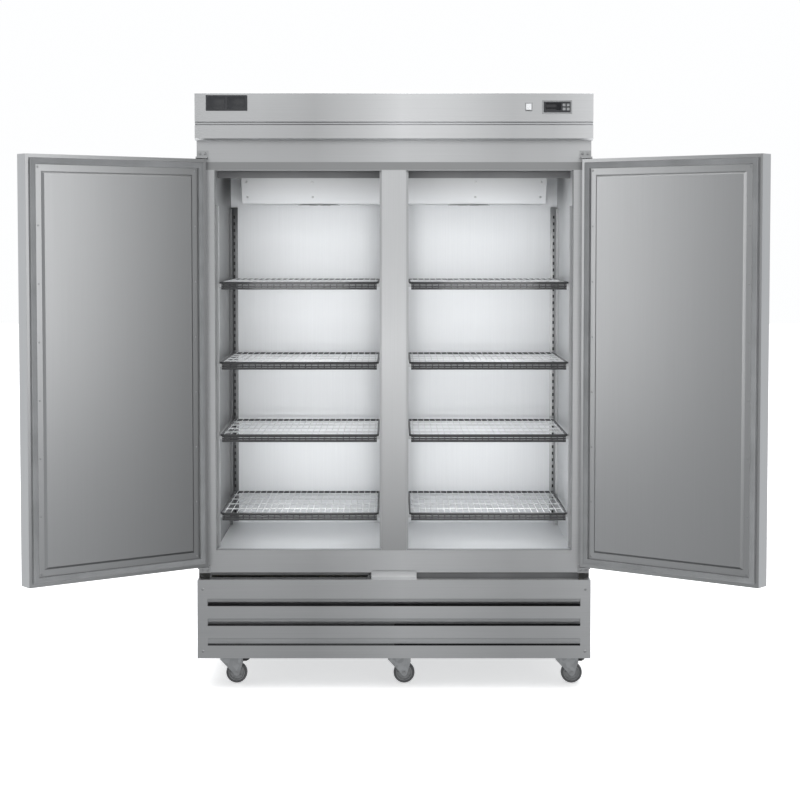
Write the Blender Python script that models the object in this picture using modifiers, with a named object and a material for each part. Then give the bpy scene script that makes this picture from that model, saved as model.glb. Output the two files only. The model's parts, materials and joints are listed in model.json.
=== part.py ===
"""Two-section reach-in refrigerator with solid doors, standing open on six casters.

Metres, +Z up, the front faces -Y. The cabinet is drawn with its face frame at Y = 0 under one
empty, which then moves it back so that the whole object is centred over the origin.
"""
import math

import bmesh
import bpy
from mathutils import Matrix

# ---- Driving dimensions ----
GAP = 0.0003  # clearance between touching pieces
SHEET = 0.0012  # stainless sheet

CABINET_HALF = 0.691
CABINET_D = 0.737  # face frame to rear panel
CABINET_TOP = 2.094
BASE_Z = 0.110  # underside of the cabinet

OPEN_HALF = 0.630
OPEN_BOTTOM = 0.483
OPEN_TOP = 1.825
INNER_BACK = 0.674
FOAM = 0.058
MULLION_HALF = 0.043
MULLION_D = 0.045
FRAME_T = 0.004
FRAME_BOTTOM = 0.404
FRAME_TOP = 1.995
MACHINE_TOP = OPEN_BOTTOM - 0.060

HEADER_D = 0.064
HEADER_BOTTOM = 1.926
GRILLE_D = 0.060
GRILLE_TOP = 0.388
SLOT_CENTRES = (0.169, 0.239, 0.309)
SLOT_H = 0.028

DOOR_BOTTOM = 0.434
DOOR_TOP = 1.861
DOOR_EDGE = 0.010  # hinge axis to the door's hinge-side edge
DOOR_FREE = 0.678  # hinge axis to the door's free edge
DOOR_FRONT = 0.028  # hinge axis to the door's outer face
DOOR_REAR = 0.030  # hinge axis to the back of the door's liner flange
HINGE_X = 0.680
HINGE_Y = -0.040
OPEN_ANGLE = math.radians(142.5)
GASKET_INSET = 0.012
GASKET_W = 0.022
GASKET_T = 0.0091
PANEL_INSET = 0.056
PANEL_SLOPE = 0.008
PANEL_RAISE = 0.0077
PULL = (0.590, 0.650, 1.000, 1.300)  # recessed pull: low and high along the door, low and high Z
PULL_DEPTH = 0.030

SHELF_TOPS = (0.612, 0.892, 1.150, 1.434)
SHELF_T = 0.008
SHELF_HALF = 0.283
SHELF_X = 0.336
SHELF_FRONT = 0.042
SHELF_D = 0.598
SHELF_BARS = 13

WHEEL_R = 0.038
WHEEL_W = 0.026
WHEEL_SIDES = 24
AXLE_Z = WHEEL_R * math.cos(math.pi / WHEEL_SIDES)  # a flat of the wheel lies on the floor
TRAIL = 0.036
CASTER_TOP = BASE_Z - 0.0043
CASTER_X = (-0.598, 0.0, 0.598)
CASTER_ROWS = {"front": 0.048, "rear": 0.660}
PEDAL_PIVOT = (0.052, 0.084)

COVER_X = 0.560
COVER_BOTTOM = 1.715
SWITCH_X = 0.467
SWITCH_Z = 2.040
SHROUD_Y = 0.0623
EVAP_FAN_X = 0.280
EVAP_FAN_Y = 0.440
CONDENSER_X = (-0.650, -0.090)
CONDENSER_FAN = (-0.370, 0.255)


def door_corner(along, back):
    """Place of a door point in the left door's axis frame, turned to the rest pose."""
    c, s = math.cos(OPEN_ANGLE), math.sin(OPEN_ANGLE)
    return along * c + back * s, back * c - along * s


FRONT_REACH = HINGE_Y + min(
    door_corner(DOOR_FREE - GASKET_INSET, DOOR_REAR + GAP + GASKET_T)[1],
    door_corner(DOOR_FREE, DOOR_REAR)[1],
)
CENTRE_Y = -(FRONT_REACH + CABINET_D) / 2

# colour, metallic, roughness
FINISHES = {
    "stainless": ((0.72, 0.73, 0.74), 1.0, 0.35),
    "galvanised": ((0.60, 0.62, 0.63), 1.0, 0.50),
    "aluminium": ((0.80, 0.81, 0.82), 1.0, 0.40),
    "foam": ((0.86, 0.80, 0.62), 0.0, 0.90),
    "seal": ((0.45, 0.46, 0.47), 0.0, 0.60),
    "tyre": ((0.13, 0.13, 0.14), 0.0, 0.60),
    "black": ((0.03, 0.03, 0.03), 0.0, 0.50),
    "white": ((0.82, 0.83, 0.84), 0.0, 0.40),
    "wire": ((0.55, 0.56, 0.57), 0.6, 0.40),
}


# ---- Scene helpers ----
def clear_scene():
    for obj in list(bpy.data.objects):
        bpy.data.objects.remove(obj, do_unlink=True)


def new_collection(name):
    made = bpy.data.collections.new(name)
    bpy.context.scene.collection.children.link(made)
    return made


def new_empty(name, place, parent=None, turn=0.0):
    made = bpy.data.objects.new(name, None)
    made.location = place
    made.rotation_euler = (0, 0, turn)
    made.parent = parent
    PARTS.objects.link(made)
    return made


def finish(obj, kind):
    colour, metallic, roughness = FINISHES[kind]
    made = bpy.data.materials.new(obj.name + "_finish")
    made.use_nodes = True
    shader = made.node_tree.nodes["Principled BSDF"]
    shader.inputs["Base Color"].default_value = (*colour, 1)
    shader.inputs["Metallic"].default_value = metallic
    shader.inputs["Roughness"].default_value = roughness
    obj.data.materials.clear()
    obj.data.materials.append(made)


def add(name, mesh, place=(0, 0, 0), turn=(0, 0, 0), parent=None):
    """A new object of the refrigerator from a mesh."""
    made = bpy.data.objects.new(name, mesh)
    made.location = place
    made.rotation_euler = turn
    made.parent = parent or CABINET
    PARTS.objects.link(made)
    return made


def combine(obj, other, operation):
    """Boolean of obj with other, which becomes a hidden cutter."""
    PARTS.objects.unlink(other)
    CUTTERS.objects.link(other)
    other.hide_render = True
    other.display_type = "WIRE"
    step = obj.modifiers.new(other.name, "BOOLEAN")
    step.operation = operation
    step.solver = "EXACT"
    step.object = other


def cut(obj, *others):
    for other in others:
        combine(obj, other, "DIFFERENCE")
    return obj


def join(obj, *others):
    for other in others:
        combine(obj, other, "UNION")
    return obj


def frozen(obj):
    """The evaluated mesh of an object, placed as it stands; the object and its operands go."""
    operands = [step.object for step in obj.modifiers if step.type == "BOOLEAN"]
    bpy.context.view_layer.update()
    mesh = bpy.data.meshes.new_from_object(obj.evaluated_get(bpy.context.evaluated_depsgraph_get()))
    mesh.transform(obj.matrix_basis)
    for gone in [obj, *operands]:
        bpy.data.objects.remove(gone, do_unlink=True)
    return mesh


def smooth(obj):
    obj.data.shade_smooth()
    obj.data.set_sharp_from_angle(angle=math.radians(35))
    return obj


# ---- Shape helpers ----
def box(name, low, high, parent=None):
    """A box between two corners, with its origin at its centre."""
    low, high = ([f(a, b) for a, b in zip(low, high)] for f in (min, max))
    bm = bmesh.new()
    bmesh.ops.create_cube(bm, size=1)
    bmesh.ops.scale(bm, vec=[b - a for a, b in zip(low, high)], verts=bm.verts)
    mesh = bpy.data.meshes.new(name)
    bm.to_mesh(mesh)
    bm.free()
    return add(name, mesh, [(a + b) / 2 for a, b in zip(low, high)], parent=parent)


TURNS = {
    "X": (math.pi / 2, 0, math.pi / 2),
    "Y": (math.pi / 2, 0, 0),
    "Z": (0, 0, 0),
}


def prism(name, outline, low, high, along="Z", holes=(), parent=None):
    """A flat outline extruded along an axis: (Y, Z) along X, (X, Z) along Y or (X, Y) along Z."""
    curve = bpy.data.curves.new(name, "CURVE")
    curve.dimensions = "2D"
    curve.fill_mode = "BOTH"
    curve.extrude = (high - low) / 2
    for points in (outline, *holes):
        spline = curve.splines.new("POLY")
        spline.points.add(len(points) - 1)
        for point, (a, b) in zip(spline.points, points):
            point.co = (a, b, 0, 1)
        spline.use_cyclic_u = True
    source = bpy.data.objects.new(name, curve)
    PARTS.objects.link(source)
    mesh = frozen(source)
    bpy.data.curves.remove(curve)
    bm = bmesh.new()
    bm.from_mesh(mesh)
    bmesh.ops.remove_doubles(bm, verts=bm.verts, dist=1e-6)
    bmesh.ops.recalc_face_normals(bm, faces=bm.faces)
    bm.to_mesh(mesh)
    bm.free()
    middle = (low + high) / 2
    place = {"X": (middle, 0, 0), "Y": (0, middle, 0), "Z": (0, 0, middle)}[along]
    return add(name, mesh, place, TURNS[along], parent)


def rectangle(low_a, high_a, low_b, high_b):
    return [(low_a, low_b), (high_a, low_b), (high_a, high_b), (low_a, high_b)]


def rod(name, radius, start, length, along="Z", sides=16, parent=None):
    """A cylinder from a start point along an axis."""
    bm = bmesh.new()
    bmesh.ops.create_cone(bm, cap_ends=True, segments=sides, radius1=radius, radius2=radius, depth=length)
    bmesh.ops.rotate(bm, verts=bm.verts, matrix=Matrix.Rotation(math.pi / sides, 3, "Z"))
    mesh = bpy.data.meshes.new(name)
    bm.to_mesh(mesh)
    bm.free()
    place = list(start)
    place["XYZ".index(along)] += length / 2
    return smooth(add(name, mesh, place, TURNS[along], parent))


def turned(name, profile, sides, place, along="Z", parent=None, closed=False):
    """A profile of (radius, height) points turned about its own Z, top to bottom outside."""
    bm = bmesh.new()
    verts = [bm.verts.new((r, 0, z)) for r, z in profile]
    pairs = list(zip(verts, verts[1:]))
    if closed:
        pairs.append((verts[-1], verts[0]))
    for pair in pairs:
        bm.edges.new(pair)
    bmesh.ops.rotate(bm, verts=bm.verts, matrix=Matrix.Rotation(math.pi / sides, 3, "Z"))
    mesh = bpy.data.meshes.new(name)
    bm.to_mesh(mesh)
    bm.free()
    made = add(name, mesh, place, TURNS[along], parent)
    step = made.modifiers.new("turn", "SCREW")
    step.steps = step.render_steps = sides
    step.use_merge_vertices = True
    step.merge_threshold = 0.00001
    step.use_smooth_shade = True
    return made


def hollow(obj, thickness, *open_sides):
    """Turn a solid into a sheet shell, open on the faces that look along the given directions."""
    bm = bmesh.new()
    bm.from_mesh(obj.data)
    bm.normal_update()
    gone = [f for f in bm.faces if any(f.normal.dot(side) > 0.99 for side in open_sides)]
    bmesh.ops.delete(bm, geom=gone, context="FACES")
    bmesh.ops.dissolve_limit(bm, angle_limit=0.001, verts=bm.verts, edges=bm.edges)
    bm.to_mesh(obj.data)
    bm.free()
    step = obj.modifiers.new("sheet", "SOLIDIFY")
    step.thickness = thickness
    step.offset = -1
    step.use_even_offset = True
    return obj


def fan_blades(name, place, along, hub_r, tip_r, depth, count, parent=None):
    """A hub with pitched blades that widen towards their tips."""
    fan = rod(name, hub_r, place, depth, along, 16, parent)
    bm = bmesh.new()
    for i in range(count):
        blade = bmesh.ops.create_cube(bm, size=1)["verts"]
        for v in blade:
            at_tip = v.co.x > 0
            v.co.x = tip_r if at_tip else hub_r * 0.7
            v.co.y *= tip_r * (0.75 if at_tip else 0.22)
            v.co.z *= 0.0018
        pitch = Matrix.Rotation(math.radians(18), 3, "X")
        spin = Matrix.Rotation(2 * math.pi * i / count, 3, "Z")
        bmesh.ops.rotate(bm, verts=blade, matrix=spin @ pitch)
    bmesh.ops.recalc_face_normals(bm, faces=bm.faces)
    mesh = bpy.data.meshes.new(name + "_blades")
    bm.to_mesh(mesh)
    bm.free()
    blades = add(name + "_blades", mesh, fan.location, TURNS[along], parent)
    return join(fan, blades)


# ---- Cabinet ----
def build_wrap():
    outer = CABINET_HALF
    inner = outer - SHEET
    top = CABINET_TOP
    outline = [
        (-outer, BASE_Z),
        (-outer, top),
        (outer, top),
        (outer, BASE_Z),
        (inner, BASE_Z),
        (inner, top - SHEET),
        (-inner, top - SHEET),
        (-inner, BASE_Z),
    ]
    finish(prism("cabinet_wrap", outline, 0, CABINET_D - 0.001, "Y"), "stainless")


def build_rear_panel():
    half = CABINET_HALF - SHEET - GAP
    panel = box(
        "rear_panel",
        (-half, CABINET_D - SHEET, BASE_Z + 0.001),
        (half, CABINET_D, CABINET_TOP - SHEET - GAP),
    )
    for row in range(4):
        z = 0.200 + 0.045 * row
        slot = rectangle(-0.450, 0.450, z, z + 0.012)
        cut(panel, prism(f"rear_slot_{row}", slot, CABINET_D - 0.010, CABINET_D + 0.010, "Y"))
    finish(panel, "galvanised")


def build_insulation():
    half = CABINET_HALF - SHEET - GAP
    front = FRAME_T + GAP
    inner = OPEN_HALF + SHEET + GAP
    block = box(
        "insulation",
        (-half, front, MACHINE_TOP),
        (half, CABINET_D - SHEET - GAP, OPEN_TOP + FOAM + 0.008),
    )
    well = box(
        "insulation_well",
        (-inner, -0.050, OPEN_BOTTOM - SHEET - GAP),
        (inner, INNER_BACK + SHEET + GAP, OPEN_TOP + SHEET + GAP),
    )
    finish(cut(block, well), "foam")


def build_inner_liner():
    low = (-OPEN_HALF - SHEET, FRAME_T + GAP, OPEN_BOTTOM - SHEET)
    high = (OPEN_HALF + SHEET, INNER_BACK + SHEET, OPEN_TOP + SHEET)
    finish(hollow(box("inner_liner", low, high), SHEET, (0, -1, 0)), "aluminium")


def build_face_frame():
    half = CABINET_HALF - SHEET - GAP
    outer = rectangle(-half, half, FRAME_BOTTOM, FRAME_TOP)
    opening = rectangle(-OPEN_HALF, OPEN_HALF, OPEN_BOTTOM, OPEN_TOP)
    finish(prism("face_frame", outer, 0, FRAME_T, "Y", [opening]), "stainless")


def channel(half, front, back, sheet):
    """Outline of a channel open towards +Y, in X and Y."""
    return [
        (-half, front),
        (half, front),
        (half, back),
        (half - sheet, back),
        (half - sheet, front + sheet),
        (-half + sheet, front + sheet),
        (-half + sheet, back),
        (-half, back),
    ]


def build_mullion():
    outline = channel(MULLION_HALF, 0, MULLION_D, SHEET)
    low, high = OPEN_BOTTOM + GAP, OPEN_TOP - GAP
    finish(prism("center_mullion", outline, low, high), "stainless")


def build_header():
    """A sheet channel over the doors, with a creased front, and holes for the switch and display."""
    front, top, bottom = -HEADER_D, CABINET_TOP, HEADER_BOTTOM
    profile = [
        (-GAP, top),
        (front + 0.006, top),
        (front, top - 0.006),
        (front, 1.990),
        (front + 0.007, 1.986),
        (front + 0.007, 1.982),
        (front, 1.978),
        (front, bottom + 0.006),
        (front + 0.006, bottom),
        (-GAP, bottom),
    ]
    header = prism("header_fascia", profile, -CABINET_HALF, CABINET_HALF, "X")
    hollow(header, SHEET, (1, 0, 0))
    display_hole = rectangle(0.527, 0.603, 2.023, 2.057)
    switch_hole = rectangle(SWITCH_X - 0.0105, SWITCH_X + 0.0105, SWITCH_Z - 0.0125, SWITCH_Z + 0.0125)
    cut(header, prism("display_hole", display_hole, front - 0.010, front + 0.004, "Y"))
    cut(header, prism("switch_hole", switch_hole, front - 0.010, front + 0.004, "Y"))
    finish(header, "stainless")




def build_header_controls():
    face = -HEADER_D - GAP
    display = box("temperature_controller", (0.515, face - 0.003, 2.018), (0.615, face, 2.062))
    body = box("controller_body", (0.529, face - 0.001, 2.025), (0.601, -0.014, 2.055))
    finish(join(display, body), "black")
    outline = [
        (0.006, -0.009),
        (-0.006, -0.011),
        (-0.0035, 0),
        (-0.006, 0.011),
        (0.006, 0.009),
    ]
    switch = prism("power_switch", outline, -0.0095, 0.0095, "X")
    turn = Matrix.Rotation(math.radians(-10), 4, "X") @ switch.matrix_basis
    switch.matrix_basis = Matrix.Translation((SWITCH_X, -HEADER_D + 0.003, SWITCH_Z)) @ turn
    finish(switch, "white")


def build_grille():
    """A bottom cover of sheet with three long slots, a hood over each, and a centre tab."""
    half = CABINET_HALF
    front = -GRILLE_D
    cover = box("louver_grille", (-half, front, BASE_Z), (half, -GAP, GRILLE_TOP))
    hollow(cover, SHEET, (0, 1, 0), (0, 0, -1))
    low = (-half + 0.020, -0.032, GRILLE_TOP - 0.010)
    high = (half - 0.020, 0.050, GRILLE_TOP + 0.010)
    cut(cover, box("grille_top_gap", low, high))
    for i, z in enumerate(SLOT_CENTRES):
        slot = rectangle(-0.655, 0.655, z - SLOT_H / 2, z + SLOT_H / 2)
        cut(cover, prism(f"grille_slot_{i}", slot, front - 0.010, front + 0.010, "Y"))
        hood = [
            (front + 0.0004, z + SLOT_H / 2 - 0.0010),
            (front + 0.0004, z + SLOT_H / 2 + 0.0030),
            (front + 0.0150, z - SLOT_H / 2 + 0.0060),
            (front + 0.0132, z - SLOT_H / 2 + 0.0050),
        ]
        join(cover, prism(f"grille_hood_{i}", hood, -0.660, 0.660, "X"))
    low, high = GRILLE_TOP - 0.0008, GRILLE_TOP + 0.0220
    tab = [
        (-0.0400, low),
        (-0.0060, low),
        (-0.0060, high),
        (-0.0072, high),
        (-0.0072, low + 0.0012),
        (-0.0400, low + 0.0012),
    ]
    finish(join(cover, prism("grille_tab", tab, -0.080, 0.080, "X")), "stainless")


def build_base():
    """A shallow steel tray under the cabinet, with a mounting plate for each caster."""
    half = CABINET_HALF - SHEET - GAP
    low = (-half, 0.003, BASE_Z)
    high = (half, CABINET_D - SHEET - GAP, BASE_Z + 0.045)
    tray = hollow(box("base_frame", low, high), 0.003, (0, 0, 1))
    for row, y in CASTER_ROWS.items():
        for i, x in enumerate(CASTER_X):
            plate = box(
                f"caster_plate_{row}_{i}",
                (x - 0.035, y - 0.035, CASTER_TOP + GAP),
                (x + 0.035, y + 0.035, BASE_Z + 0.001),
            )
            join(tray, plate)
    finish(tray, "galvanised")


# ---- Doors and hinges ----
def door_box(name, axis, side, along, back, up):
    """A box in a door's own frame: along the door, towards its back, and up."""
    low = (side * along[0], back[0], up[0])
    high = (side * along[1], back[1], up[1])
    return box(name, low, high, axis)


def pin_holes(label, axis):
    depth = 0.020
    lower = rod(label + "_lower_pin_hole", 0.0064, (0, 0, DOOR_BOTTOM - 0.010), depth + 0.010, parent=axis)
    upper = rod(label + "_upper_pin_hole", 0.0064, (0, 0, DOOR_TOP - depth), depth + 0.010, parent=axis)
    return lower, upper


def build_door_skin(name, axis, side):
    """A sheet pan with turned-in edges and a pull pressed into its face."""
    edge = (-DOOR_EDGE, DOOR_FREE)
    height = (DOOR_BOTTOM, DOOR_TOP)
    pull_along, pull_up = PULL[:2], PULL[2:]
    sheet = 0.001
    skin = door_box(name + "_skin", axis, side, edge, (-DOOR_FRONT, DOOR_REAR - sheet), height)
    pull_back = (-DOOR_FRONT - 0.010, -DOOR_FRONT + PULL_DEPTH)
    pull = door_box(name + "_pull", axis, side, pull_along, pull_back, pull_up)
    room = door_box(
        name + "_room",
        axis,
        side,
        (edge[0] + sheet, edge[1] - sheet),
        (-DOOR_FRONT + sheet, DOOR_REAR + 0.010),
        (height[0] + sheet, height[1] - sheet),
    )
    boss = door_box(
        name + "_boss",
        axis,
        side,
        (pull_along[0] - sheet, pull_along[1] + sheet),
        (-DOOR_FRONT - 0.010, -DOOR_FRONT + PULL_DEPTH + sheet),
        (pull_up[0] - sheet, pull_up[1] + sheet),
    )
    cut(room, boss)
    cut(skin, room, pull, *pin_holes(name + "_skin", axis))
    finish(skin, "stainless")


def build_door_core(name, axis, side):
    """The foam that fills the door, with a step into the liner's raised panel."""
    wall = 0.001 + GAP
    inset = PANEL_INSET + PANEL_SLOPE + 0.004
    core = door_box(
        name + "_core",
        axis,
        side,
        (-DOOR_EDGE + wall, DOOR_FREE - wall),
        (-DOOR_FRONT + wall, DOOR_REAR - 0.001 - GAP),
        (DOOR_BOTTOM + wall, DOOR_TOP - wall),
    )
    step = door_box(
        name + "_core_step",
        axis,
        side,
        (-DOOR_EDGE + inset, DOOR_FREE - inset),
        (0, DOOR_REAR + PANEL_RAISE - 0.001 - GAP),
        (DOOR_BOTTOM + inset, DOOR_TOP - inset),
    )
    pocket = door_box(
        name + "_pull_pocket",
        axis,
        side,
        (PULL[0] - wall, PULL[1] + wall),
        (-DOOR_FRONT - 0.010, -DOOR_FRONT + PULL_DEPTH + wall),
        (PULL[2] - wall, PULL[3] + wall),
    )
    join(core, step)
    cut(core, pocket, *pin_holes(name + "_core", axis))
    finish(core, "foam")


def build_door_liner(name, axis, side):
    """A thin inner sheet with a raised panel, closing the back of the door."""
    width = DOOR_EDGE + DOOR_FREE
    height = DOOR_TOP - DOOR_BOTTOM
    bm = bmesh.new()
    bmesh.ops.create_grid(bm, x_segments=1, y_segments=1, size=0.5)
    bmesh.ops.scale(bm, vec=(width, height, 1), verts=bm.verts)
    face = bm.faces[:]
    for thickness, depth in ((PANEL_INSET, 0), (PANEL_SLOPE, PANEL_RAISE)):
        bmesh.ops.inset_region(
            bm, faces=face, thickness=thickness, depth=depth, use_boundary=True, use_even_offset=True
        )
    mesh = bpy.data.meshes.new(name + "_liner")
    bm.to_mesh(mesh)
    bm.free()
    place = (side * (DOOR_FREE - DOOR_EDGE) / 2, DOOR_REAR, (DOOR_TOP + DOOR_BOTTOM) / 2)
    liner = add(name + "_liner", mesh, place, (-math.pi / 2, 0, 0), axis)
    step = liner.modifiers.new("sheet", "SOLIDIFY")
    step.thickness = 0.001 - GAP
    step.offset = -1
    finish(liner, "stainless")


def build_door_gasket(name, axis, side):
    def ring(inset):
        ends = sorted((side * (-DOOR_EDGE + inset), side * (DOOR_FREE - inset)))
        return rectangle(*ends, DOOR_BOTTOM + inset, DOOR_TOP - inset)

    low = DOOR_REAR + GAP
    outer, inner = ring(GASKET_INSET), ring(GASKET_INSET + GASKET_W)
    gasket = prism(name + "_gasket", outer, low, low + GASKET_T, "Y", [inner], axis)
    finish(gasket, "seal")


def build_hinge(name, side, door_end, up):
    """An angle on the face frame, with the pin that the door turns on; up is +1 or -1."""
    near = door_end - 0.0035 * up
    far = near - 0.0050 * up
    flange = near - 0.0280 * up
    outline = [
        (-0.058, near),
        (-GAP, near),
        (-GAP, flange),
        (-0.0033, flange),
        (-0.0033, far),
        (-0.058, far),
    ]
    angle = prism(name, outline, *sorted((side * 0.650, side * 0.689)), "X")
    pin_low, pin_high = sorted((near - 0.0025 * up, door_end + 0.018 * up))
    pin = rod(name + "_pin", 0.006, (side * HINGE_X, HINGE_Y, pin_low), pin_high - pin_low)
    finish(join(angle, pin), "stainless")


def build_doors():
    for label, side in (("left", 1), ("right", -1)):
        name = "door_" + label
        place = (-side * HINGE_X, HINGE_Y, 0)
        axis = new_empty(name + "_axis", place, CABINET, -side * OPEN_ANGLE)
        build_door_skin(name, axis, side)
        build_door_core(name, axis, side)
        build_door_liner(name, axis, side)
        build_door_gasket(name, axis, side)
        build_hinge(f"hinge_bracket_{label}_lower", -side, DOOR_BOTTOM, 1)
        build_hinge(f"hinge_bracket_{label}_upper", -side, DOOR_TOP, -1)


# ---- Shelves and their standards ----
def clip_boxes(name, low_x, high_x, low_y, high_y):
    """One small lug under each shelf."""
    made = []
    for i, top in enumerate(SHELF_TOPS):
        z = top - SHELF_T - GAP
        made.append(box(f"{name}_clip_{i}", (low_x, low_y, z - 0.011), (high_x, high_y, z)))
    return made


def build_standards():
    wall = OPEN_HALF - GAP
    depth = 0.009
    rows = {"front": (0.050, 0.075), "rear": (0.590, 0.615)}
    for row, (y0, y1) in rows.items():
        for label, side in (("left", -1), ("right", 1)):
            name = f"shelf_standard_{label}_{row}"
            face = wall - depth
            outline = [
                (face, y0),
                (face, y1),
                (wall, y1),
                (wall, y1 - 0.0015),
                (face + 0.0015, y1 - 0.0015),
                (face + 0.0015, y0 + 0.0015),
                (wall, y0 + 0.0015),
                (wall, y0),
            ]
            outline = [(side * x, y) for x, y in outline]
            standard = prism(name, outline, OPEN_BOTTOM + 0.004, 1.700)
            ends = sorted((side * (face + 0.001), side * (face - 0.014)))
            join(standard, *clip_boxes(name, *ends, y0 + 0.004, y1 - 0.004))
            finish(standard, "stainless")
    posts = {"front": (MULLION_D + GAP, 0.066, OPEN_TOP - GAP), "rear": (0.590, 0.611, COVER_BOTTOM - GAP)}
    for row, (y0, y1, top) in posts.items():
        name = f"shelf_post_center_{row}"
        post = prism(name, channel(0.051, y0, y1, 0.0015), OPEN_BOTTOM + GAP, top)
        for side in (-1, 1):
            ends = sorted((side * 0.050, side * 0.065))
            join(post, *clip_boxes(f"{name}_{side}", *ends, y0 + 0.004, y1 - 0.002))
        finish(post, "stainless")


def build_shelves():
    """A grille with long slots, one mesh for all eight shelves."""
    frame = 0.010
    pitch = (2 * SHELF_HALF - frame) / SHELF_BARS
    outer = rectangle(-SHELF_HALF, SHELF_HALF, 0, SHELF_D)
    slots = []
    for i in range(SHELF_BARS):
        low = -SHELF_HALF + frame + i * pitch
        slots.append(rectangle(low, low + pitch - frame, frame, SHELF_D - frame))
    mesh = prism("shelf_mesh", outer, -SHELF_T, 0, "Z", slots)
    shape = frozen(mesh)
    for i, top in enumerate(SHELF_TOPS):
        for label, side in (("left", -1), ("right", 1)):
            place = (side * SHELF_X, SHELF_FRONT, top)
            finish(add(f"shelf_{label}_{i + 1}", shape.copy(), place), "wire")


# ---- Casters ----
def yoke_mesh():
    """Swivel head, two legs with a brake pin between them, and the axle; origin under the head."""
    head = rod("yoke_head", 0.026, (0, 0, 0.092), CASTER_TOP - 0.092)
    crown = box("yoke_crown", (-0.022, -0.0185, 0.0900), (0.058, 0.0185, 0.0935))
    join(head, crown)
    leg = [(-0.022, 0.0935), (0.0585, 0.0935), (0.0600, 0.0790), (0.0470, 0.0370)]
    for i in range(7):
        angle = math.radians(-10 - 160 * i / 6)
        leg.append((TRAIL + 0.011 * math.cos(angle), AXLE_Z + 0.011 * math.sin(angle)))
    leg.append((-0.022, 0.086))
    for i, y in enumerate((-0.0185, 0.0155)):
        join(head, prism(f"yoke_leg_{i}", leg, y, y + 0.003, "Y"))
    join(head, rod("yoke_axle", 0.004, (TRAIL, -0.020, AXLE_Z), 0.040, "Y", 12))
    x, z = PEDAL_PIVOT
    join(head, rod("yoke_pin", 0.0022, (x, -0.0175, z), 0.035, "Y", 8))
    return frozen(head)


def wheel_mesh():
    """Tyre, web and hub in one turned profile with a bore."""
    r, half = WHEEL_R, WHEEL_W / 2
    profile = [
        (0.0044, half + 0.001),
        (0.012, half + 0.001),
        (0.013, half - 0.004),
        (r - 0.010, half - 0.004),
        (r - 0.008, half),
        (r - 0.002, half),
        (r, half - 0.003),
        (r, -half + 0.003),
        (r - 0.002, -half),
        (r - 0.008, -half),
        (r - 0.010, -half + 0.004),
        (0.013, -half + 0.004),
        (0.012, -half - 0.001),
        (0.0044, -half - 0.001),
    ]
    return frozen(turned("wheel_mesh", profile, WHEEL_SIDES, (0, 0, 0), closed=True))


def pedal_mesh():
    """A short brake lever with a bore; origin on its pin."""
    outline = [
        (-0.0050, -0.0045),
        (0.0200, -0.0045),
        (0.0300, 0.0020),
        (0.0290, 0.0060),
        (0.0180, 0.0045),
        (-0.0050, 0.0040),
    ]
    lever = prism("pedal_lever", outline, -0.012, 0.012, "Y")
    cut(lever, rod("pedal_bore", 0.0026, (0, -0.020, 0), 0.040, "Y", 8))
    return frozen(lever)


def build_casters():
    yoke, wheel, pedal = yoke_mesh(), wheel_mesh(), pedal_mesh()
    for row, y in CASTER_ROWS.items():
        for label, x in zip(("left", "center", "right"), CASTER_X):
            tail = f"{row}_{label}"
            finish(add("caster_yoke_" + tail, yoke.copy(), (x, y, 0)), "galvanised")
            spin = add("caster_wheel_" + tail, wheel.copy(), (x + TRAIL, y, AXLE_Z), TURNS["Y"])
            finish(spin, "tyre")
            if row == "front" and label != "center":
                place = (x + PEDAL_PIVOT[0], y, PEDAL_PIVOT[1])
                finish(add("brake_pedal_" + tail, pedal.copy(), place), "black")


# ---- Refrigeration ----
def motor_mount(name, place, up, span, radius, length):
    """A strap on two legs across a fan hole, with a motor on it; built along +Z or +Y."""
    x, y, z = place
    if up == "Z":
        strap = box(name + "_strap", (x - span, y - 0.010, z), (x + span, y + 0.010, z + 0.002))
        motor = rod(name + "_motor", radius, (x, y, z + 0.001), length)
        legs = [
            box(f"{name}_leg_{s}", (x + s * span, y - 0.010, COVER_BOTTOM + 0.0005),
                (x + s * (span - 0.002), y + 0.010, z + 0.001))
            for s in (-1, 1)
        ]
    else:
        strap = box(name + "_strap", (x - span, y, z - 0.012), (x + span, y + 0.002, z + 0.012))
        motor = rod(name + "_motor", radius, (x, y + 0.001, z), length, "Y")
        legs = [
            box(f"{name}_leg_{s}", (x + s * span, SHROUD_Y + 0.0005, z - 0.012),
                (x + s * (span - 0.002), y + 0.001, z + 0.012))
            for s in (-1, 1)
        ]
    return [*legs, strap, motor]




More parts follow.
